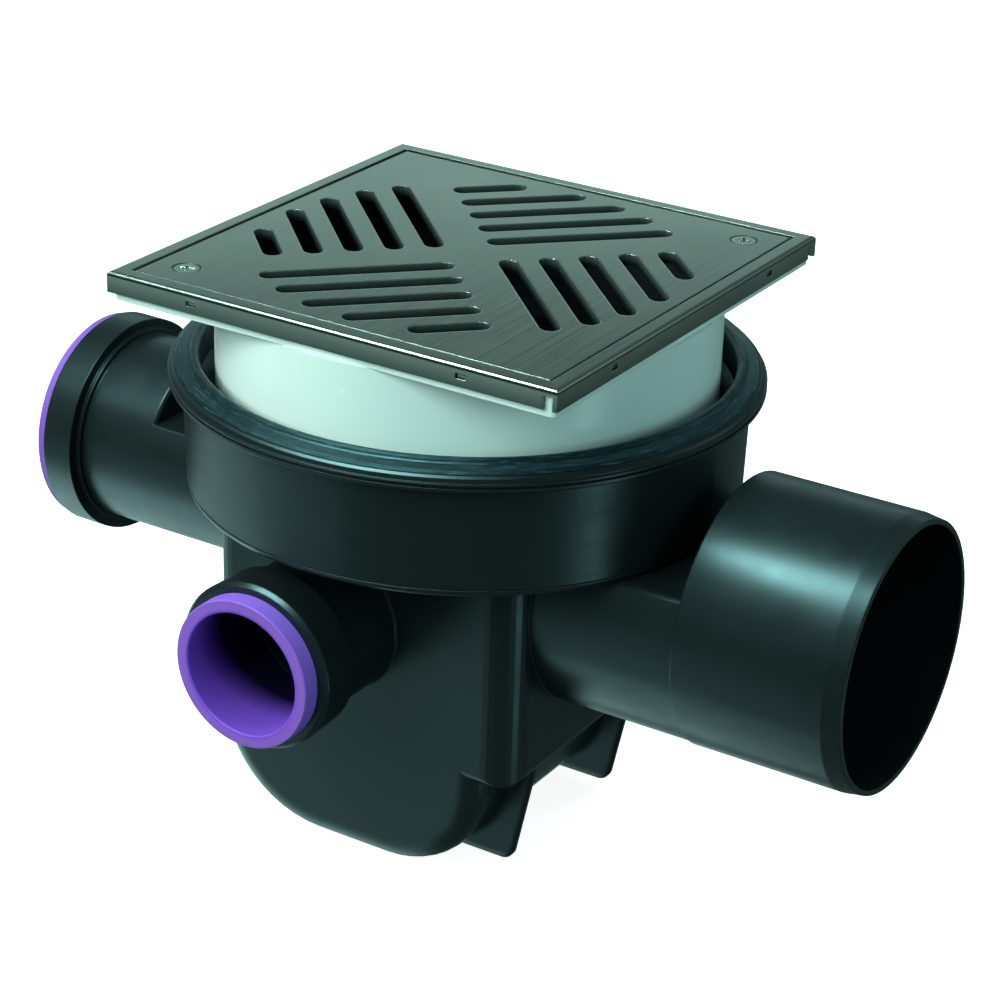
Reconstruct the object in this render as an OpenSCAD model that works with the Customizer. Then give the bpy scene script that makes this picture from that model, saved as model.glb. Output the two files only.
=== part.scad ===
// Floor gully with a water trap: stainless grate and frame on a height-adjustable riser,
// a round drum, and a trap body with a 110 mm outlet and 75 mm and 50 mm inlets.
// Origin: drum axis at the ground, +X to the outlet, -Y to the 50 mm inlet, -X to the 75 mm inlet.

/* [Heights] */
// Depth of the sump below the trap box
sump_h = 49.5; // [44:0.5:55]
// Height of the deck's underside above the ground
deck_z = 145.5; // [143:0.5:152]
// Height of the drum from the deck to its rim
drum_h = 48.5; // [44:0.5:70]
// Height of the tray's underside above the drum's rim
riser_stand = 31.5; // [30:0.5:45]
// Depth of the water seal below the outlet's invert
water_seal = 50; // [40:1:52]

/* [Drum] */
// Outer diameter of the drum at its foot
drum_d = 223.4; // [216:0.2:234]
// Growth of the drum's radius from foot to rim
drum_draft = 1; // [0:0.1:2]
// Wall of the drum
drum_wall = 3.2; // [2.6:0.1:4]
// How far the rim bead stands out from the drum
rim_out = 5.8; // [4.5:0.1:8]
// Height of the drum's rim bead
rim_h = 6.5; // [5:0.1:9]

/* [Trap body] */
// Wall of the moulded trap body
wall = 3.2; // [2.4:0.1:4]
// Thickness of the deck under the drum
deck_t = 3; // [2.4:0.1:5]
// Reach of the trap box toward the 75 mm inlet
box_back = 77; // [74:0.5:84]
// Reach of the trap box toward the outlet
box_front = 65; // [62:0.5:72]
// Reach of the sump toward the outlet
sump_front = 51; // [46:0.5:55]
// Width of the trap box
box_w = 132; // [118:1:140]
// Radius of the box's upright corners on the outlet side
box_r = 13; // [8:0.5:16]
// Radius of the sump's lower corner on the 75 mm side
sump_r_back = 50; // [30:1:56]
// Radius of the sump's lower corner on the outlet side
sump_r_front = 45; // [30:1:50]
// Radius of the sump's outer edges
edge_r = 9; // [5:0.5:11]
// Thickness of the two feet
foot_t = 2.2; // [2:0.1:4]
// Distance of each foot from the middle plane
foot_y = 38.5; // [30:0.5:46]
// Reach of the feet toward the outlet
foot_reach = 53; // [50:0.5:55]
// Height of the feet's underside above the ground
foot_lift = 2; // [0.5:0.5:4]

/* [Outlet] */
// Outer diameter of the outlet spigot
outlet_d = 110; // [100:1:116]
// Height of the outlet's axis
outlet_z = 122; // [120:0.5:125]
// Distance of the spigot's end from the drum axis
outlet_end = 196.5; // [180:0.5:220]
// Where the full pipe of the outlet begins
outlet_start = 126.5; // [122:0.5:136]

/* [Inlet 75] */
// Diameter of the larger pipe that is pushed in
inlet75_d = 75; // [70:1:78]
// Height of the larger inlet's axis
inlet75_z = 125; // [121:0.5:127]
// Distance of the larger socket's mouth from the drum axis
inlet75_end = 183; // [178:0.5:200]
// Where the full neck of the larger inlet begins
inlet75_start = 131; // [126:0.5:134]
// Length of the larger socket's collar
collar75_l = 15; // [13:0.5:18]

/* [Inlet 50] */
// Diameter of the smaller pipe that is pushed in
inlet50_d = 50; // [46:1:52]
// Height of the smaller inlet's axis
inlet50_z = 103; // [97:0.5:107]
// Offset of the smaller inlet toward the 75 mm side
inlet50_x = -18.8; // [-24:0.1:-16]
// Distance of the smaller socket's mouth from the drum axis
inlet50_end = 118.5; // [112:0.5:130]
// Length of the smaller socket's collar
collar50_l = 19; // [14:0.5:24]

/* [Riser] */
// Outer diameter of the riser pipe
riser_d = 200; // [190:1:200]
// Wall of the riser pipe
riser_wall = 4; // [3:0.1:5]
// Length of the riser pipe below its tray
riser_l = 50; // [46:0.5:52]
// Wall of the riser's square tray
tray_wall = 2.6; // [2:0.1:2.9]
// Thickness of the tray's floor
tray_floor = 3; // [2:0.1:3.4]

/* [Frame and grate] */
// Side of the square frame
frame_side = 200; // [196:1:206]
// Width of the frame's top band
band_w = 6.4; // [6.2:0.1:8]
// Thickness of the frame's sheet
sheet = 1.5; // [1:0.1:1.8]
// Height of the frame's outer skirt
skirt_h = 8.4; // [7:0.1:9.5]
// Width of the ledge that carries the grate
ledge_w = 6; // [4:0.5:7]
// Thickness of the grate
grate_t = 4.6; // [4:0.1:5]
// Depth of the grate's top below the frame's top band
grate_drop = 0.4; // [0:0.1:1.2]
// Gap between the grate and the frame
grate_gap = 1.4; // [0.6:0.1:2]
// Depth from the frame's top to the tray's underside
tray_h = 11.5; // [11.2:0.1:15]
// Width of a grate slot
slot_w = 8; // [6:0.5:11]
// Distance between neighbouring slots
slot_pitch = 16; // [14:0.5:17]
// Slots in each quarter of the grate
slots_per_quarter = 5; // [2:1:5]
// Radius of the circle that the slots' outer ends lie on
slot_reach = 86; // [80:0.5:88]
// Distance of each grate screw from the middle planes
screw_pos = 78.5; // [76:0.5:79]

/* [Hidden] */
$fn = 96;

// Clearances
push_gap = 0.1;    // between a pushed-in piece and its seat
turn_gap = 0.08;   // between the riser and the lips of its seal
side_gap = 0.3;    // between the tray and the frame
eps = 0.01;
past = 1;          // how far a cutter runs past the face it cuts

// Colours
black_pp = [0.10, 0.12, 0.13];
black_rubber = [0.20, 0.22, 0.25];
violet_rubber = [0.58, 0.45, 0.85];
pale_pvc = [0.80, 0.85, 0.84];
brushed_steel = [0.62, 0.65, 0.63];
brass = [0.75, 0.60, 0.30];

// Levels
deck_top = deck_z + deck_t;
rim_z = deck_top + drum_h;
tray_z = rim_z + riser_stand;
top_z = tray_z + tray_h;
face_z = top_z - grate_drop;
grate_z = face_z - grate_t;

// Drum
drum_r = drum_d / 2;
rim_r = drum_r + drum_draft + rim_out;
drum_bore = drum_r + drum_draft - drum_wall;

// Trap box
box_y = box_w / 2;
box_edge_r = 4;
under_r = 9;         // radius of the hollow corner between the sump and the box

// Outlet
outlet_r = outlet_d / 2;
outlet_bore = outlet_r - wall;
duct_step = 0.6;     // how much smaller the half duct is than the spigot
lid_r = 4;           // radius of the long edges on top of the half duct
duct_r = outlet_r - duct_step;
duct_bore = duct_r - wall;
invert_z = outlet_z - duct_bore;
chamfer_l = 7.5;
chamfer_r = 1.1;

// Sockets: neck, collar and the seat of the push-in seal
neck_wall = 2.5;
pipe_gap = 0.2;      // between a pushed-in pipe and its seal
socket_gap = 0.6;    // between a pushed-in pipe and the neck's bore
stop_depth = 2.5;    // how far the pipe stop stands in
stop_l = 3;
inlet75_r = inlet75_d / 2;
neck75_bore = inlet75_r + socket_gap;
neck75_r = neck75_bore + neck_wall;
seat75_r = neck75_bore + 4;
collar75_r = seat75_r + 4.5;
seat75_l = 12;
inlet50_r = inlet50_d / 2;
neck50_bore = inlet50_r + 3.5;
neck50_r = neck50_bore + neck_wall - 0.5;
collar50_r = neck50_r + 4;
seat50_l = 38;
flange_t75 = 4;
flange_t50 = 7.5;
flange_set_in = 1.2; // how far a seal's flange stays inside the collar's edge

// Riser and its seal
riser_r = riser_d / 2;
riser_bore = riser_r - riser_wall;
seal_top = 4;        // height of the seal's inner edge above the rim
seal_leg = 3.2;      // thickness of the seal's leg inside the drum
seal_drop = 16;      // depth of that leg below the rim
seat_run = 1;        // how far the drum's straight seat runs below that leg
lip_t = 1.6;

// Frame, tray and grate
frame_r = frame_side / 2;
leg_r = frame_r - band_w;
tray_r = frame_r - sheet - side_gap;
grate_r = leg_r - grate_gap;
bend_r = 1.6;
corner_notch = 6;   // where each skirt stops short of one corner
window_pos = 60;
window_w = 4.4;
window_h = 2.2;
window_z = top_z - 5.4;
nib_gap = 0.2;

// Screws and inserts
screw_r = 2.5;
head_r = 5.2;
head_h = 2.6;
screw_l = 9;
insert_r = 3.6;
insert_l = grate_z - side_gap - tray_z - push_gap;
boss_r = 6.4;

// Baffle
baffle_t = 3;
baffle_x = 22;
baffle_side = 3.6;   // width of the rubber on each upright edge
rib_t = 2;
rib_reach = 6;
gasket_t = 1.5;
flange_l = 14;
flange_w = 90;
grip_h = 20;
grip_w = 34;
grip_bead = 3.5;

// Points of an arc
function arc(cx, cy, r, a0, a1, n = 8) =
    [for (i = [0:n]) let (a = a0 + (a1 - a0) * i / n) [cx + r * cos(a), cy + r * sin(a)]];

// Outline of a rectangle with rounded corners
function rounded_rect(x0, y0, x1, y1, r) = concat(
    arc(x1 - r, y1 - r, r, 0, 90), arc(x0 + r, y1 - r, r, 90, 180),
    arc(x0 + r, y0 + r, r, 180, 270), arc(x1 - r, y0 + r, r, 270, 360));

// Outline open at the top, with a radius at each lower corner
function tub(x0, x1, z0, z1, r0, r1) = concat(
    [[x1, z1], [x0, z1]], arc(x0 + r0, z0 + r0, r0, 180, 270, 12), arc(x1 - r1, z0 + r1, r1, 270, 360, 12));

module ring(profile) rotate_extrude($fn = 180) polygon(profile);

// Places a revolved part on the axis of each pipe, with its own +Z pointing outward
module at_outlet() translate([0, 0, outlet_z]) rotate([0, 90, 0]) children();
module at_inlet75() translate([0, 0, inlet75_z]) rotate([0, -90, 0]) children();
module at_inlet50() translate([inlet50_x, 0, inlet50_z]) rotate([90, 0, 0]) children();

// Everything below a level, as a cutter
module below(z) translate([-400, -400, z - 400]) cube([800, 800, 400]);

// The same, with the top no wider than w to each side and its long edges rounded
module below_lid(z, w)
    rotate([90, 0, 90])
        linear_extrude(800, center = true)
            polygon(concat(
                [[-400, z - lid_r], [-400, z - 400], [400, z - 400], [400, z - lid_r]],
                arc(w - lid_r, z - lid_r, lid_r, 0, 90, 6), arc(-w + lid_r, z - lid_r, lid_r, 90, 180, 6)));

// A box with rounded plan corners and rounded lower edges, drawn in by inset
module tub_block(x0, x1, z0, r_low, inset, top) {
    y = box_y - inset;
    intersection() {
        translate([0, 0, z0 + inset])
            linear_extrude(top - z0 - inset)
                polygon(rounded_rect(x0, -y, x1 - inset, y, box_r - inset));
        rotate([90, 0, 0])
            linear_extrude(box_w + 2 * past, center = true)
                polygon(tub(x0 - past, x1 - inset, z0 + inset, top, r_low - inset / 2, r_low - inset / 2));
        rotate([90, 0, 90])
            linear_extrude(2 * (box_back + box_front), center = true)
                polygon(tub(-y, y, z0 + inset, top, r_low - inset / 2, r_low - inset / 2));
    }
}

// The sump, bellied at both ends with all its outer edges rounded, drawn in by inset
module sump_block(inset, top) {
    steps = 6;
    r_edge = edge_r - inset;
    hull()
        for (i = [0:steps]) {
            d = inset + r_edge * (1 - cos(90 * i / steps));
            y = box_y - inset - r_edge * (1 - sin(90 * i / steps));
            rotate([90, 0, 0])
                linear_extrude(2 * y, center = true)
                    polygon(tub(-box_back + d, sump_front - d, d, top, sump_r_back - d, sump_r_front - d));
        }
}

// The trap's box with its sump, drawn in by inset
module trap_form(inset, top) {
    sump_block(inset, top);
    tub_block(-box_back + edge_r + box_r, box_front, sump_h, box_edge_r, inset, top);
}

// Rounds the hollow corner between the sump and the underside of the box
module under_fillet() {
    r = under_r;
    rotate([90, 0, 0])
        linear_extrude(box_w - 2 * edge_r, center = true)
            polygon(concat(
                [[sump_front - wall / 2, sump_h + wall / 2], [sump_front - wall / 2, sump_h - r]],
                arc(sump_front + r, sump_h - r, r, 180, 90)));
}

// One foot under the outlet side of the box
module foot() {
    head_x = box_front - 3;
    heel_x = sump_front - sump_r_front;
    toe_r = 6;
    tilt = 12;
    rotate([90, 0, 0])
        linear_extrude(foot_t, center = true)
            polygon(concat(
                [[heel_x, sump_h + wall / 2], [heel_x, foot_lift]],
                arc(foot_reach - toe_r, foot_lift + toe_r, toe_r, 270, 360 - tilt),
                [[head_x, sump_h + wall / 2]]));
}

module outlet_outer() {
    at_outlet() {
        ring([[0, outlet_start], [outlet_r, outlet_start], [outlet_r, outlet_end - chamfer_l],
              [outlet_r - chamfer_r, outlet_end], [0, outlet_end]]);
    }
    edge_h = deck_z - lid_r - outlet_z;
    lid_w = sqrt(duct_r * duct_r - edge_h * edge_h);
    intersection() {
        at_outlet() translate([0, 0, box_front - wall]) cylinder(r = duct_r, h = outlet_start - box_front + 2 * wall);
        below_lid(deck_z, lid_w);
    }
}

module outlet_inner() {
    at_outlet() translate([0, 0, outlet_start + wall]) cylinder(r = outlet_bore, h = outlet_end - outlet_start);
    intersection() {
        at_outlet() translate([0, 0, box_front - 2 * wall]) cylinder(r = duct_bore, h = outlet_start - box_front + 4 * wall);
        below(deck_z - wall);
    }
}

module inlet75_outer() {
    shoulder = inlet75_end - collar75_l;
    rim = 1.2;
    at_inlet75()
        ring([[0, inlet75_start], [neck75_r - rim, inlet75_start], [neck75_r, inlet75_start + rim],
              [neck75_r, shoulder - 2],
              [neck75_r + 2, shoulder - 2], [neck75_r + 2, shoulder], [collar75_r, shoulder],
              [collar75_r, inlet75_end - 1], [collar75_r - 1, inlet75_end], [0, inlet75_end]]);
    intersection() {
        at_inlet75() translate([0, 0, box_back - wall]) cylinder(r = neck75_r, h = inlet75_start - box_back + 2 * wall);
        below(deck_z);
    }
}

module inlet75_inner() {
    stop_z = inlet75_start + wall + stop_l;
    at_inlet75() {
        translate([0, 0, inlet75_start + wall]) cylinder(r = neck75_bore - stop_depth, h = stop_l + past);
        translate([0, 0, stop_z]) cylinder(r = neck75_bore, h = inlet75_end - stop_z);
        translate([0, 0, inlet75_end - seat75_l]) cylinder(r = seat75_r, h = seat75_l + past);
    }
    intersection() {
        at_inlet75() translate([0, 0, box_back - 2 * wall])
            cylinder(r = neck75_bore - stop_depth, h = inlet75_start - box_back + 4 * wall);
        below(deck_z - wall);
    }
}

module inlet50_outer() {
    shoulder = inlet50_end - collar50_l;
    fillet = 0.8;
    at_inlet50()
        ring([[0, box_y - wall], [neck50_r + fillet, box_y - wall], [neck50_r + fillet, box_y],
              [neck50_r, box_y + fillet], [neck50_r, shoulder - 2], [collar50_r - 0.5, shoulder],
              [collar50_r, inlet50_end - 2], [collar50_r - 1.5, inlet50_end], [0, inlet50_end]]);
}

module inlet50_inner() {
    stop_z = inlet50_end - seat50_l;
    at_inlet50() {
        translate([0, 0, box_y - 2 * wall]) cylinder(r = inlet50_r - 1, h = stop_z - box_y + 2 * wall + past);
        translate([0, 0, stop_z]) cylinder(r = neck50_bore, h = seat50_l + past);
    }
}

// Pairs of upright ribs that hold the baffle's rubber edges
module baffle_guides() {
    foot_z = invert_z - water_seal;
    for (side = [-1, 1], x = [baffle_x - baffle_t / 2 - push_gap - rib_t, baffle_x + baffle_t / 2 + push_gap])
        translate([x, side * (box_y - wall - rib_reach / 2 + eps) - rib_reach / 2, foot_z + edge_r])
            cube([rib_t, rib_reach, deck_z - foot_z - edge_r]);
}

module trap_body() {
    deck_r = drum_r;
    edge = 2.4;
    well_x1 = baffle_x + baffle_t / 2 + push_gap;
    color(black_pp) {
        difference() {
            union() {
                translate([0, 0, deck_z])
                    ring(concat([[0, 0]], arc(deck_r - edge, edge, edge, 270, 360, 4), [[deck_r, deck_t], [0, deck_t]]));
                trap_form(0, deck_z + eps);
                under_fillet();
                for (side = [-1, 1]) translate([0, side * foot_y, 0]) foot();
                outlet_outer();
                inlet75_outer();
                inlet50_outer();
            }
            trap_form(wall, deck_z - eps);
            outlet_inner();
            inlet75_inner();
            inlet50_inner();
            translate([0, 0, deck_z - wall])
                linear_extrude(deck_t + wall + past)
                    polygon([[-box_back + edge_r, -box_y + wall], [well_x1, -box_y + wall],
                             [well_x1, box_y - wall], [-box_back + edge_r, box_y - wall],
                             [-box_back + wall, box_y - edge_r], [-box_back + wall, -box_y + edge_r]]);
        }
        baffle_guides();
    }
}

module drum() {
    foot_r = drum_r;
    head_r = drum_r + drum_draft;
    groove = 0.9;
    color(black_pp)
        translate([0, 0, deck_top])
            ring(concat(
                [[foot_r - drum_wall, 0], [foot_r - 0.3, 0], [foot_r, 0.3], [head_r, drum_h - rim_h - 2],
                 [rim_r - 1, drum_h - rim_h], [rim_r, drum_h - rim_h + 0.8], [rim_r, drum_h - 4.5],
                 [rim_r - groove, drum_h - 4.2], [rim_r - groove, drum_h - 3.7],
                 [rim_r, drum_h - 3.4], [rim_r, drum_h - 2.7],
                 [rim_r - groove, drum_h - 2.4], [rim_r - groove, drum_h - 1.9], [rim_r - 1.2, drum_h - 0.8]],
                [[rim_r - 2.2, drum_h], [drum_bore, drum_h], [drum_bore, drum_h - seal_drop - seat_run],
                 [foot_r - drum_wall, drum_h - seal_drop - seat_run - drum_draft - 1]]));
}

module trap_baffle() {
    foot_z = invert_z - water_seal;
    half = box_y - wall - baffle_side - 2 * push_gap;
    head_z = deck_top + gasket_t;
    color(black_pp) {
        translate([baffle_x - baffle_t / 2, -half, foot_z]) cube([baffle_t, 2 * half, head_z + baffle_t - foot_z]);
        translate([baffle_x - baffle_t / 2, -flange_w / 2, head_z]) cube([flange_l, flange_w, baffle_t]);
        translate([baffle_x - baffle_t / 2, -grip_w / 2, head_z]) cube([baffle_t, grip_w, grip_h]);
        translate([baffle_x, 0, head_z + grip_h])
            rotate([90, 0, 0]) cylinder(r = grip_bead, h = grip_w, center = true);
    }
}

// Rubber on the baffle's upright edges and under its flange
module baffle_seal() {
    foot_z = invert_z - water_seal;
    x0 = baffle_x - baffle_t / 2;
    rubber_y = box_y - wall - push_gap - baffle_side;
    color(black_rubber) {
        for (side = [-1, 1])
            translate([x0, side * (rubber_y + baffle_side / 2) - baffle_side / 2, foot_z])
                cube([baffle_t, baffle_side, deck_top - foot_z]);
        translate([x0 + baffle_t, -flange_w / 2, deck_top]) cube([flange_l - baffle_t, flange_w, gasket_t]);
    }
}

module inlet_75_seal() {
    bore = inlet75_r + pipe_gap;
    body_r = seat75_r - push_gap;
    flange_r = collar75_r - flange_set_in;
    z0 = inlet75_end - seat75_l + 0.5;
    color(violet_rubber)
        at_inlet75()
            ring([[bore, z0], [body_r, z0], [body_r, inlet75_end], [flange_r, inlet75_end],
                  [flange_r, inlet75_end + flange_t75 - 1], [flange_r - 1, inlet75_end + flange_t75],
                  [bore + 1.5, inlet75_end + flange_t75], [bore, inlet75_end + flange_t75 - 1.5]]);
}

module inlet_50_seal() {
    bore = inlet50_r + pipe_gap;
    body_r = neck50_bore - push_gap;
    flange_r = collar50_r - 2.8 - flange_set_in;
    z0 = inlet50_end - seat50_l + 0.5;
    color(violet_rubber)
        at_inlet50()
            ring([[bore, z0], [body_r, z0], [body_r, inlet50_end], [flange_r, inlet50_end],
                  [flange_r, inlet50_end + flange_t50 - 0.4], [flange_r - 0.4, inlet50_end + flange_t50],
                  [bore + 0.5, inlet50_end + flange_t50], [bore, inlet50_end + flange_t50 - 0.5]]);
}

// Lip seal that hangs over the drum's rim and wipes the riser pipe
module riser_seal() {
    leg_out = drum_bore - push_gap;
    leg_in = leg_out - seal_leg;
    lip_in = riser_r + turn_gap;
    lip_drop = 6;
    crown = rim_r - 2.6;
    bead_r = 2.1;
    color(black_rubber)
        translate([0, 0, rim_z])
            ring(concat(
                [[leg_out, push_gap], [leg_out, -seal_drop], [leg_in + 1, -seal_drop],
                 [lip_in + 1, -seal_drop + 1], [lip_in, -seal_drop + 1 + lip_t],
                 [leg_in, -seal_drop + lip_t + lip_drop - 1], [leg_in, -seal_drop + lip_drop + 3 * lip_t - 1]],
                arc(leg_in + bead_r, seal_top - bead_r, bead_r, 180, 20, 6),
                [[leg_in + 2 * bead_r + 0.4, seal_top - bead_r + 0.2], [crown - 1, 1.3], [crown, push_gap]]));
}

module riser() {
    nib_out = tray_r + side_gap + sheet * 0.3;
    color(pale_pvc)
        difference() {
            union() {
                translate([0, 0, tray_z - riser_l]) cylinder(r = riser_r, h = riser_l + eps, $fn = 180);
                translate([0, 0, tray_z])
                    linear_extrude(top_z - sheet - side_gap - tray_z)
                        polygon(rounded_rect(-tray_r, -tray_r, tray_r, tray_r, 2));
                for (a = [0:90:270], s = [-1, 1])
                    rotate([0, 0, a])
                        translate([tray_r - eps, s * window_pos - window_w / 2 + nib_gap, window_z + nib_gap])
                            cube([nib_out - tray_r, window_w - 2 * nib_gap, window_h - 2 * nib_gap]);
            }
            translate([0, 0, tray_z - riser_l - past]) cylinder(r = riser_bore, h = riser_l + tray_floor + 2 * past, $fn = 180);
            difference() {
                translate([0, 0, tray_z + tray_floor])
                    linear_extrude(tray_h)
                        polygon(rounded_rect(-tray_r + tray_wall, -tray_r + tray_wall, tray_r - tray_wall, tray_r - tray_wall, 1));
                for (side = [-1, 1])
                    translate([side * screw_pos, side * screw_pos, tray_z]) cylinder(r = boss_r, h = grate_z - tray_z - side_gap);
            }
            for (side = [-1, 1])
                translate([side * screw_pos, side * screw_pos, tray_z - past])
                    cylinder(r = insert_r + push_gap / 2, h = tray_h);
        }
}

// One side of the frame: the folded section, mitred at both ends
module frame_side_piece() {
    lip_z = grate_z - sheet;
    section = concat(
        [[leg_r - ledge_w, lip_z], [leg_r + sheet, lip_z], [leg_r + sheet, top_z - sheet],
         [frame_r - sheet, top_z - sheet], [frame_r - sheet, top_z - skirt_h], [frame_r, top_z - skirt_h]],
        arc(frame_r - bend_r, top_z - bend_r, bend_r, 0, 90, 5),
        [[leg_r, top_z], [leg_r, grate_z], [leg_r - ledge_w, grate_z]]);
    difference() {
        intersection() {
            rotate([90, 0, 0]) linear_extrude(frame_side, center = true) polygon(section);
            linear_extrude(top_z + past) polygon([[0, 0], [2 * frame_r, -2 * frame_r], [2 * frame_r, 2 * frame_r]]);
        }
        for (s = [-1, 1])
            translate([frame_r - 2 * sheet, s * window_pos - window_w / 2, window_z]) cube([3 * sheet, window_w, window_h]);
        translate([frame_r - 2 * sheet, frame_r - corner_notch, top_z - skirt_h - past])
            cube([3 * sheet, corner_notch - sheet - side_gap, skirt_h - 2 * sheet + past]);
    }
}

module frame() {
    color(brushed_steel)
        for (i = [0:3]) rotate([0, 0, 90 * i]) frame_side_piece();
}

// Outline of a slot with half-round ends
module slot_outline(u0, u1) {
    r = slot_w / 2;
    polygon(concat(arc(u1 - r, 0, r, -90, 90, 6), arc(u0 + r, 0, r, 90, 270, 6)));
}

// Four quarters of parallel slots, each turned a quarter turn from the last
module grate() {
    inner_end = 9;
    first_row = 12;
    color(brushed_steel)
        difference() {
            translate([-grate_r, -grate_r, grate_z]) cube([2 * grate_r, 2 * grate_r, grate_t]);
            for (quarter = [0:3], row = [0:slots_per_quarter - 1]) {
                v = first_row + slot_pitch * row;
                rotate([0, 0, 45 + 90 * quarter])
                    translate([0, v, grate_z - past])
                        linear_extrude(grate_t + 2 * past)
                            slot_outline(inner_end, sqrt(slot_reach * slot_reach - v * v));
            }
            for (side = [-1, 1])
                translate([side * screw_pos, side * screw_pos, 0]) {
                    translate([0, 0, grate_z - past]) cylinder(r = screw_r + side_gap, h = grate_t + 2 * past);
                    translate([0, 0, face_z - head_h - push_gap])
                        ring([[0, 0], [screw_r + side_gap, 0], [head_r + side_gap, head_h], [head_r + side_gap, head_h + past], [0, head_h + past]]);
                }
        }
}

// Countersunk screw with a cross recess, placed on one diagonal corner
module grate_screw(side) {
    recess_d = 6;
    recess_w = 1.3;
    recess_h = 1.8;
    color(brushed_steel)
        translate([side * screw_pos, side * screw_pos, face_z - push_gap])
            difference() {
                ring([[0, -screw_l], [screw_r - 0.6, -screw_l], [screw_r - push_gap / 2, -screw_l + 0.8],
                      [screw_r - push_gap / 2, -head_h], [head_r, -0.3], [head_r, 0], [0, 0]]);
                for (a = [0, 90])
                    rotate([0, 0, a + 20])
                        translate([-recess_d / 2, -recess_w / 2, -recess_h]) cube([recess_d, recess_w, recess_h + past]);
            }
}

// Threaded sleeve in the tray's corner boss
module screw_insert(side) {
    color(brass)
        translate([side * screw_pos, side * screw_pos, grate_z - side_gap - insert_l])
            ring([[screw_r, 0], [insert_r, 0], [insert_r, insert_l], [screw_r, insert_l]]);
}

trap_body();
drum();
trap_baffle();
baffle_seal();
inlet_75_seal();
inlet_50_seal();
riser_seal();
riser();
frame();
grate();
grate_screw(-1);  // grate_screw_left
grate_screw(1);  // grate_screw_right
screw_insert(-1);  // screw_insert_left
screw_insert(1);  // screw_insert_right
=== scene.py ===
import math

import bmesh
import bpy
from mathutils import Matrix, Vector


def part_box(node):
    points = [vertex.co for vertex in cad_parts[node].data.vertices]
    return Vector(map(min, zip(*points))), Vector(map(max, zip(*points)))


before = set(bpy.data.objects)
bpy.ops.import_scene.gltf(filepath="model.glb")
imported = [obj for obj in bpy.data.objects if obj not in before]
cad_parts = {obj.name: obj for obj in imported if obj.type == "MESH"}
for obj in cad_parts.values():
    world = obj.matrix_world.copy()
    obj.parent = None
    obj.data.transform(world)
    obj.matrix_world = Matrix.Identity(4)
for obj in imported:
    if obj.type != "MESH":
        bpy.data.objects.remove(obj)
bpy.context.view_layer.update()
scene = bpy.context.scene

# Every form of the gully is a CAD node. This script gives the nodes their materials, and adds the
# light, the backdrop and the camera. Lengths are in metres.

# Places on the nodes that the materials follow
FRAME_LOW, FRAME_TOP = (corner.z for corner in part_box("frame"))
GRATE_LOW, GRATE_TOP = (corner.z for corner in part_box("grate"))
RISER_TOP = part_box("riser")[1].z
SCREW_LOW, SCREW_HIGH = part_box("grate_screw_right")
SCREW_AT = (SCREW_LOW + SCREW_HIGH).xy.length / 2  # distance of each grate screw from the axis
HEAD_R = (SCREW_HIGH.x - SCREW_LOW.x) / 2  # radius of a screw's head
SLEEVE_LOW, SLEEVE_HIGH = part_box("inlet_50_seal")
SLEEVE_AXIS = (SLEEVE_LOW + SLEEVE_HIGH) / 2
SLEEVE_R = (SLEEVE_HIGH.z - SLEEVE_LOW.z) / 2
BORE_R = (0.0262, 0.0268)  # radii between which the sleeve's bore goes over into its front
PIPE_WALL_R = (0.0965, 0.0975)  # radii between which the painted shade inside the riser pipe ends
SUMP_TOP = (0.045, 0.052)  # heights between which the sump goes over into the trap box
SUMP_EDGE = 0.0040  # how far the shading rounds the sump's edges
LEVEL = (0.96, 0.995)  # upward part of a surface's direction from where it begins to count as level


# ---------------------------------------------------------------- materials

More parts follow.
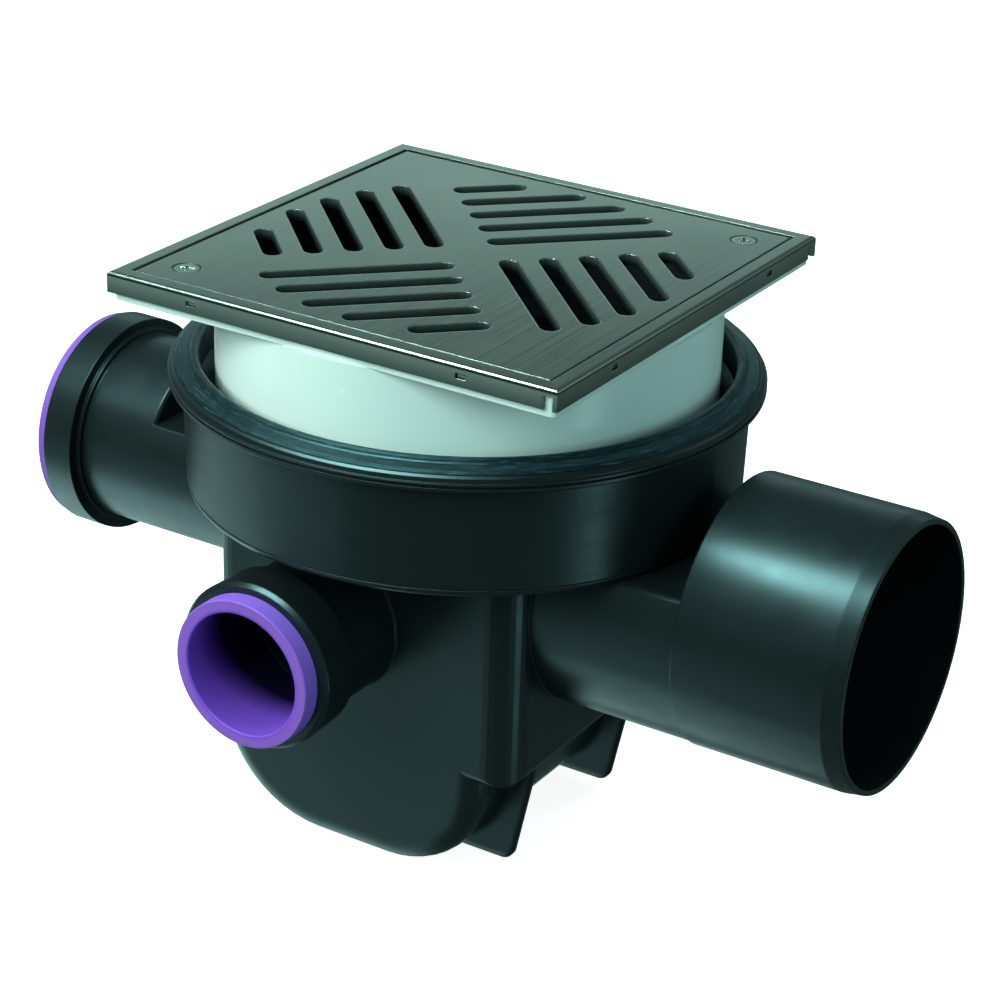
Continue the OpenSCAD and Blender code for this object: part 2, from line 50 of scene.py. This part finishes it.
class Mat:
    """A procedural material on the Principled shader, in the object's own coordinates.

    Keywords name sockets. A value is a number, a colour, a vector or another node's output.
    """

    def __init__(self, name, **sockets):
        self.material = bpy.data.materials.new(name)
        self.material.use_nodes = True
        self.tree = self.material.node_tree
        self.shader = self.tree.nodes["Principled BSDF"]
        self.coordinates = self.new("TexCoord")
        self.bumps = []
        self.shade(**sockets)

    def fill(self, socket, value):
        if isinstance(value, bpy.types.NodeSocket):
            self.tree.links.new(value, socket)
        elif socket.type == "RGBA":
            socket.default_value = (*value, 1.0)
        else:
            socket.default_value = value

    def fill_all(self, node, sockets):
        for key, value in sockets.items():
            self.fill(node.inputs[key.replace("_", " ")], value)

    def shade(self, **sockets):
        self.fill_all(self.shader, sockets)

    def new(self, kind, **sockets):
        node = self.tree.nodes.new("ShaderNode" + kind)
        self.fill_all(node, sockets)
        return node

    # Numbers and colours

    def maths(self, operation, a, b=0.0):
        node = self.new("Math")
        node.operation = operation
        self.fill(node.inputs[0], a)
        self.fill(node.inputs[1], b)
        return node.outputs[0]

    def plus(self, a, b):
        return self.maths("ADD", a, b)

    def minus(self, a, b):
        return self.maths("SUBTRACT", a, b)

    def times(self, a, b):
        return self.maths("MULTIPLY", a, b)

    def size(self, a):
        return self.maths("ABSOLUTE", a)

    def length(self, a, b):
        """The length of the vector (a, b)."""
        return self.maths("POWER", self.plus(self.times(a, a), self.times(b, b)), 0.5)

    def average(self, a, b):
        return self.times(self.plus(a, b), 0.5)

    def blend(self, factor, a, b):
        """The number a where factor is 0, b where it is 1."""
        return self.plus(self.times(a, self.minus(1.0, factor)), self.times(b, factor))

    def mix(self, factor, a, b):
        """The colour a where factor is 0, b where it is 1."""
        node = self.new("Mix")
        node.data_type = "RGBA"
        for socket, value in zip((node.inputs["Factor"], *node.inputs[6:8]), (factor, a, b)):
            self.fill(socket, value)
        return node.outputs[2]

    def ramp(self, value, low, high, at_low=0.0, at_high=1.0):
        """at_low up to low, at_high from high on, and even between them."""
        return self.new("MapRange", Value=value, From_Min=low, From_Max=high,
                        To_Min=at_low, To_Max=at_high).outputs[0]

    # Places

    def split(self, vector):
        """The x, y and z of a vector."""
        return self.new("SeparateXYZ", Vector=vector).outputs[:3]

    def place(self):
        """The x, y and z of the point."""
        return self.split(self.coordinates.outputs["Object"])

    def facing(self):
        """The x, y and z of the surface's direction."""
        return self.split(self.coordinates.outputs["Normal"])

    def off_planes(self):
        """Distances from the planes x = 0 and y = 0."""
        return [self.size(along) for along in self.place()[:2]]

    def on_x_sides(self):
        """1 on the sides at +x and -x of a square round the axis, 0 on the others."""
        return self.maths("GREATER_THAN", *self.off_planes())

    def from_screws(self):
        """Distance from the nearer of the two grate screws, which stand on the diagonal x = y."""
        x, y, _ = self.place()
        diagonal = math.sqrt(0.5)
        along = self.times(self.size(self.plus(x, y)), diagonal)
        across = self.times(self.minus(x, y), diagonal)
        return self.length(self.minus(along, SCREW_AT), across)

    # Patterns

    def noise(self, scale, stretch=(1, 1, 1), detail=4.0):
        """Noise whose pattern is stretched: a small number draws it out along that axis."""
        mapping = self.new("Mapping", Vector=self.coordinates.outputs["Object"], Scale=stretch)
        return self.new("TexNoise", Vector=mapping.outputs["Vector"], Scale=scale, Detail=detail,
                        Roughness=0.55).outputs["Fac"]

    def ring_noise(self, outwards, around, up):
        """Streaks round the axis, with scales per metre outwards, per radian and per metre up."""
        x, y, z = self.place()
        polar = self.new("CombineXYZ", X=self.times(self.length(x, y), outwards),
                         Y=self.times(self.maths("ARCTAN2", y, x), around), Z=self.times(z, up))
        return self.new("TexNoise", Vector=polar.outputs["Vector"], Scale=1.0, Detail=6.0,
                        Roughness=0.7).outputs["Fac"]

    # Surface

    def bump(self, pattern, distance, strength):
        self.bumps.append((pattern, distance, strength))

    def done(self, edge=None, samples=4, level=False):
        """Puts the bumps on top of edges rounded by edge, a length or an output.

        With level, the bumps are on faces that look up only.
        """
        normal = None
        if edge is not None:
            bevel = self.new("Bevel", Radius=edge)
            bevel.samples = samples
            normal = bevel.outputs["Normal"]
        upward = self.split(normal)[2] if level else None
        for pattern, distance, strength in self.bumps:
            if level:
                strength = self.ramp(upward, *LEVEL, 0.0, strength)
            node = self.new("Bump", Height=pattern, Distance=distance, Strength=strength)
            if normal is not None:
                self.fill(node.inputs["Normal"], normal)
            normal = node.outputs["Normal"]
        self.shade(Normal=normal)
        return self.material


def black_plastic(name, turned=False, edge=0.0010):
    """Satin black plastic, moulded, or turned with fine rings round the axis."""
    m = Mat(name, Specular_IOR_Level=0.5, Specular_Tint=(0.72, 0.95, 1.0))
    worn = m.noise(45.0, detail=6.0)
    if turned:
        worn = m.average(worn, m.noise(1.0, stretch=(9, 9, 420)))
    m.shade(Base_Color=m.mix(m.noise(14.0, detail=5.0),
                             (0.0062, 0.0078, 0.0085), (0.0110, 0.0132, 0.0142)),
            Roughness=m.ramp(worn, 0.3, 0.7, 0.28, 0.39))
    m.bump(m.noise(22.0, detail=2.0), 0.0004, 0.35)
    m.bump(m.noise(900.0, detail=2.0), 0.00002, 0.5)
    if turned:
        m.bump(m.noise(1.0, stretch=(6, 6, 900), detail=3.0), 0.00004, 0.6)
        return m.done(edge=edge)
    return m.done(edge=m.ramp(m.place()[2], *SUMP_TOP, SUMP_EDGE, edge), samples=8)


def steel(name, along, finish_and_shade, base=(0.43, 0.425, 0.37), worn=(0.56, 0.54, 0.465), edge=0.0004):
    """Steel brushed along "x", along "y" or along the "sides" of the frame.

    The finish-and-shade function gets the material, how upright the surface is, a cloudy pattern,
    and the colour and roughness so far. It returns the last two as that piece has them, with
    painted shade in the colour.
    """
    m = Mat(name, Metallic=1.0, Specular_IOR_Level=0.5)
    grains = []
    for fine, coarse in ((2600, 520), (900, 160)):
        stretches = {"x": [(12, fine, coarse)], "y": [(fine, 12, coarse)]}
        stretches["sides"] = stretches["x"] + stretches["y"]
        grain = [m.noise(1.0, stretch=stretch, detail=3.0) for stretch in stretches[along]]
        grains.append(m.blend(m.on_x_sides(), *grain) if along == "sides" else grain[0])
    cloud = m.noise(16.0)
    wear = m.ramp(m.average(cloud, grains[1]), 0.35, 0.65)
    upright = m.ramp(m.size(m.facing()[2]), 0.5, 0.9, 1.0, 0.0)
    colour, roughness = finish_and_shade(m, upright, cloud, m.mix(wear, base, worn),
                               m.ramp(grains[1], 0.3, 0.7, 0.19, 0.27))
    m.shade(Base_Color=colour, Roughness=roughness)
    m.bump(grains[0], 0.00001, 0.50)
    m.bump(grains[1], 0.00002, 0.25)
    return m.done(edge=edge, samples=12, level=True)


def frame_finish_and_shade(m, upright, cloud, colour, roughness):
    """Painted shade darkens the skirt towards its lower edge, and a painted dark line of shade runs
    under its bend.
    """
    z = m.place()[2]
    # Painted shade: upright faces darken towards the skirt's lower edge, less on the x sides.
    low_shade = m.times(m.ramp(z, FRAME_LOW + 0.0002, FRAME_TOP - 0.0015, 0.80, 0.10),
                   m.ramp(m.on_x_sides(), 0.0, 1.0, 1.0, 0.65))
    colour = m.mix(m.times(upright, low_shade), colour, (0.085, 0.120, 0.115))
    # Painted shade: a dark line just under the bend.
    from_bend = m.size(m.minus(z, FRAME_TOP - 0.0013))
    colour = m.mix(m.ramp(from_bend, 0.0003, 0.0006, 0.85, 0.0), colour, (0.03, 0.04, 0.04))
    return colour, m.blend(upright, roughness, m.ramp(cloud, 0.3, 0.7, 0.28, 0.36))


def grate_finish_and_shade(m, upright, cloud, colour, roughness):
    """The cut walls of the slots are dull, with painted shade that darkens them below, and a ring
    of painted shade lies round the screws.
    """
    # Painted shade: upright faces darken from the top of the grate downwards.
    wall = m.mix(m.ramp(m.place()[2], GRATE_LOW + 0.0012, GRATE_TOP),
                 (0.014, 0.019, 0.021), (0.125, 0.150, 0.148))
    # Painted shade in the gap just outside each screw head.
    screw_gap_shade = m.ramp(m.from_screws(), HEAD_R + 0.0003, HEAD_R + 0.0008, 0.85, 0.0)
    m.shade(Metallic=m.ramp(upright, 0.0, 1.0, 1.0, 0.6))
    return (m.mix(screw_gap_shade, m.mix(upright, colour, wall), (0.05, 0.06, 0.055)),
            m.blend(upright, roughness, m.ramp(cloud, 0.3, 0.7, 0.40, 0.50)))


def screw_shade(m, upright, cloud, colour, roughness):
    """Painted shade darkens the rim of the head, next to the gap round it."""
    rim_shade = m.ramp(m.from_screws(), HEAD_R - 0.0005, HEAD_R - 0.0001, 0.0, 0.9)
    return m.mix(rim_shade, colour, (0.05, 0.06, 0.055)), roughness


def rubber(name, dark, light, roughness, finish_and_shade=None, shine=0.3, tint=(1.0, 1.0, 1.0)):
    """Moulded rubber, mottled between two colours. The finish-and-shade function gets and returns
    the colour, with dust or with painted light and shade.
    """
    m = Mat(name, Specular_IOR_Level=shine, Specular_Tint=tint)
    colour = m.mix(m.noise(60.0), dark, light)
    m.shade(Base_Color=finish_and_shade(m, colour) if finish_and_shade else colour,
            Roughness=m.ramp(m.noise(120.0), 0.3, 0.7, roughness - 0.06, roughness + 0.06))
    m.bump(m.noise(700.0, detail=3.0), 0.00003, 0.6)
    return m.done(edge=0.0003)


def dust_finish(m, colour):
    """Dust lies in streaks round the riser."""
    streaks = m.ramp(m.ring_noise(1300.0, 14.0, 1300.0), 0.53, 0.62, 0.0, 0.9)
    return m.mix(streaks, colour, (0.036, 0.068, 0.100))


def sleeve_light_and_shade(m, colour):
    """Painted light gives the 50 mm sleeve's side a lighter violet, and painted shade its bore a
    darker one, turning dark inwards.
    """
    x, y, z = m.place()
    up = m.minus(z, SLEEVE_AXIS.z)
    radius = m.length(m.minus(x, SLEEVE_AXIS.x), up)
    lit_side = m.times(m.ramp(radius, SLEEVE_R - 0.0005, SLEEVE_R - 0.0001),
                   m.ramp(m.facing()[1], -0.9, -0.4))
    bore = m.ramp(radius, *BORE_R, 1.0, 0.0)
    depth = m.plus(m.minus(y, SLEEVE_LOW.y), m.times(up, 0.4))  # light reaches further in below
    # Painted light on the side; painted shade in the bore and deeper in.
    colour = m.mix(lit_side, colour, (0.36, 0.15, 0.80))
    colour = m.mix(bore, colour, (0.25, 0.080, 0.64))
    return m.mix(m.times(bore, m.ramp(depth, 0.0070, 0.0220)), colour, (0.010, 0.004, 0.028))


def pvc(name):
    """Glossy pale plastic, with painted shade inside the pipe and on the snap nibs of the tray
    under the frame's skirt.
    """
    m = Mat(name, Specular_IOR_Level=0.5)
    pale = m.mix(m.noise(9.0, detail=3.0), (0.80, 0.84, 0.80), (0.86, 0.90, 0.86))
    x, y, z = m.place()
    # Painted shade: the inside of the pipe is dark.
    inner_shade = m.ramp(m.length(x, y), *PIPE_WALL_R, 1.0, 0.0)
    off_planes = m.off_planes()
    # Painted shade on the snap nibs along the tray's top, under the frame's skirt.
    nib_shade = m.times(m.ramp(m.maths("MAXIMUM", *off_planes), 0.0973, 0.0976),
                  m.times(m.ramp(m.maths("MINIMUM", *off_planes), 0.069, 0.070, 1.0, 0.0),
                          m.ramp(z, RISER_TOP - 0.0040, RISER_TOP - 0.0038, 0.0, 0.9)))
    m.shade(Base_Color=m.mix(nib_shade, m.mix(inner_shade, pale, (0.035, 0.040, 0.040)), (0.03, 0.04, 0.04)),
            Roughness=m.ramp(m.noise(50.0), 0.3, 0.7, 0.20, 0.28))
    m.bump(m.noise(30.0, detail=2.0), 0.0002, 0.08)
    return m.done(edge=0.0005)


def brass(name):
    """Turned brass with fine rings."""
    m = Mat(name, Metallic=1.0)
    m.shade(Base_Color=m.mix(m.noise(90.0), (0.55, 0.38, 0.14), (0.66, 0.47, 0.20)),
            Roughness=m.ramp(m.noise(200.0), 0.3, 0.7, 0.25, 0.38))
    m.bump(m.noise(1.0, stretch=(60, 60, 2200)), 0.00003, 0.7)
    return m.done()


moulded = black_plastic("moulded_pp")
screw = steel("screw_steel", "x", screw_shade, base=(0.60, 0.62, 0.57), worn=(0.72, 0.73, 0.67))
insert = brass("insert_brass")
MATERIALS = {
    "trap_body": moulded,
    "trap_baffle": moulded,
    "drum": black_plastic("turned_pp", turned=True, edge=0.0003),
    "riser": pvc("pale_pvc"),
    "frame": steel("frame_steel", "sides", frame_finish_and_shade),
    "grate": steel("grate_steel", "y", grate_finish_and_shade, edge=0.0008),
    "grate_screw_left": screw,
    "grate_screw_right": screw,
    "screw_insert_left": insert,
    "screw_insert_right": insert,
    "riser_seal": rubber("dusty_rubber", (0.004, 0.010, 0.012), (0.008, 0.018, 0.022), 0.36,
                         finish_and_shade=dust_finish, shine=0.40, tint=(0.5, 0.95, 1.0)),
    "inlet_75_seal": rubber("violet_rubber", (0.24, 0.088, 0.50), (0.30, 0.115, 0.62), 0.42,
                            shine=0.2),
    "inlet_50_seal": rubber("violet_sleeve", (0.283, 0.096, 0.53), (0.350, 0.124, 0.65), 0.42,
                            finish_and_shade=sleeve_light_and_shade, shine=0.2),
    "baffle_seal": rubber("black_rubber", (0.010, 0.012, 0.013), (0.018, 0.021, 0.022), 0.6),
}
for name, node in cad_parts.items():
    node.data.materials.clear()
    node.data.materials.append(MATERIALS[name])


# ------------------------------------------------------------------- studio

CAST = (0.60, 1.0, 0.97)  # the light's colour
DEPTHWISE = (0, 1, 0)


def placed(x, y, z, origin):
    """The matrix of an object with these axes and this origin."""
    matrix = Matrix((x, y, z)).transposed().to_4x4()
    matrix.translation = origin
    return matrix


def backdrop(name, glow, make, **size):
    """A plain white sheet round the object, seen by the camera only."""
    m = Mat(name + "_white", Roughness=0.9, Base_Color=(0.86, 0.87, 0.87),
            Emission_Color=(1.0, 0.98, 0.98), Emission_Strength=glow)
    form = bmesh.new()
    make(form, **size)
    mesh = bpy.data.meshes.new(name)
    form.to_mesh(mesh)
    form.free()
    mesh.materials.append(m.material)
    o = bpy.data.objects.new(name, mesh)
    o.visible_diffuse = False
    o.visible_glossy = False
    o.visible_shadow = False
    scene.collection.objects.link(o)


def softbox(name, toward, far, size, radiance, along=(1, 0, 0), aim=(0, 0, 0.14), colour=CAST):
    """A rectangular lamp, far metres from aim in the direction toward, its width along a line.

    A lamp named _gloss shows in reflections only, and one named _soft lights surfaces only.
    """
    z = Vector(toward).normalized()
    x = (Vector(along) - Vector(along).dot(z) * z).normalized()
    light = bpy.data.lights.new(name, "AREA")
    light.shape = "RECTANGLE"
    light.size, light.size_y = size
    light.energy = radiance * math.pi * size[0] * size[1]
    light.color = colour
    o = bpy.data.objects.new(name, light)
    o.matrix_world = placed(x, z.cross(x), z, Vector(aim) + far * z)
    o.visible_camera = False
    o.visible_diffuse = name.endswith("_soft")
    o.visible_glossy = name.endswith("_gloss")
    scene.collection.objects.link(o)


backdrop("floor", 0.90, bmesh.ops.create_grid, x_segments=1, y_segments=1, size=9.0)
backdrop("wall", 1.0, bmesh.ops.create_icosphere, subdivisions=4, radius=8.5)

softbox("strip_gloss", (-0.372, -0.375, 0.850), 0.8, (0.50, 0.20), 31.0, aim=(0.16, -0.04, 0.16))
softbox("left_gloss", (-0.84, -0.20, -0.58), 1.2, (0.8, 0.6), 1.15, along=DEPTHWISE)
softbox("front_gloss", (-0.52, -0.74, -0.42), 1.4, (0.8, 0.8), 0.32)
softbox("edge_gloss", (-0.60, -0.50, 0.62), 1.0, (0.30, 0.40), 1.8, along=DEPTHWISE,
        aim=(-0.1, -0.1, 0.24))
softbox("right_gloss", (0.90, -0.02, -0.42), 0.9, (0.24, 0.30), 2.4, along=DEPTHWISE,
        aim=(0.09, -0.06, 0.17))
softbox("under_gloss", (-0.55, -0.12, -0.82), 1.2, (0.9, 1.1), 1.35)
softbox("low_gloss", (-0.40, -0.70, -0.60), 1.2, (0.5, 0.35), 0.30)
softbox("behind_gloss", (-0.62, 0.60, -0.50), 1.3, (1.2, 0.8), 1.0)
softbox("back_gloss", (-0.60, 0.77, 0.170), 0.8, (1.1, 0.31), 0.48, along=(0.76, 0.60, 0),
        aim=(0, 0, 0.24))
softbox("main_soft", (-0.28, -0.75, 0.60), 1.6, (1.2, 1.0), 7.2, colour=(0.64, 1.0, 0.94))
softbox("left_soft", (-0.82, -0.38, 0.46), 1.5, (0.5, 0.5), 8.0, along=DEPTHWISE,
        colour=(1.12, 1.0, 0.96))
softbox("right_soft", (0.90, -0.20, 0.30), 1.5, (0.8, 0.8), 2.6, along=DEPTHWISE,
        colour=(0.52, 1.0, 1.0))
softbox("rear_soft", (0.10, 0.92, 0.38), 1.6, (1.2, 0.9), 3.2)
softbox("rear_gloss", (0.78, 0.60, 0.16), 1.5, (0.9, 0.7), 0.8, along=DEPTHWISE)
softbox("top_soft", (-0.2, 0.1, 0.97), 1.8, (1.4, 1.2), 2.6)

world = bpy.data.worlds.new("studio")
world.use_nodes = True
sky = world.node_tree.nodes["Background"]
sky.inputs["Color"].default_value = (*CAST, 1.0)
sky.inputs["Strength"].default_value = 0.12
scene.world = world
scene.view_settings.view_transform = "Standard"

# The camera stands at the photograph's viewing angle.
camera = bpy.data.cameras.new("camera")
camera.sensor_width = 36.0
camera.lens = 102.756
camera.clip_start = 0.05
eye = bpy.data.objects.new("camera", camera)
eye.matrix_world = placed(Vector((0.84539, 0.533365, 0.02894)),
                          Vector((-0.245968, 0.340624, 0.907455)),
                          Vector((0.474148, -0.774272, 0.419151)),
                          Vector((0.560486, -0.887760, 0.619051)))
scene.collection.objects.link(eye)
scene.camera = eye
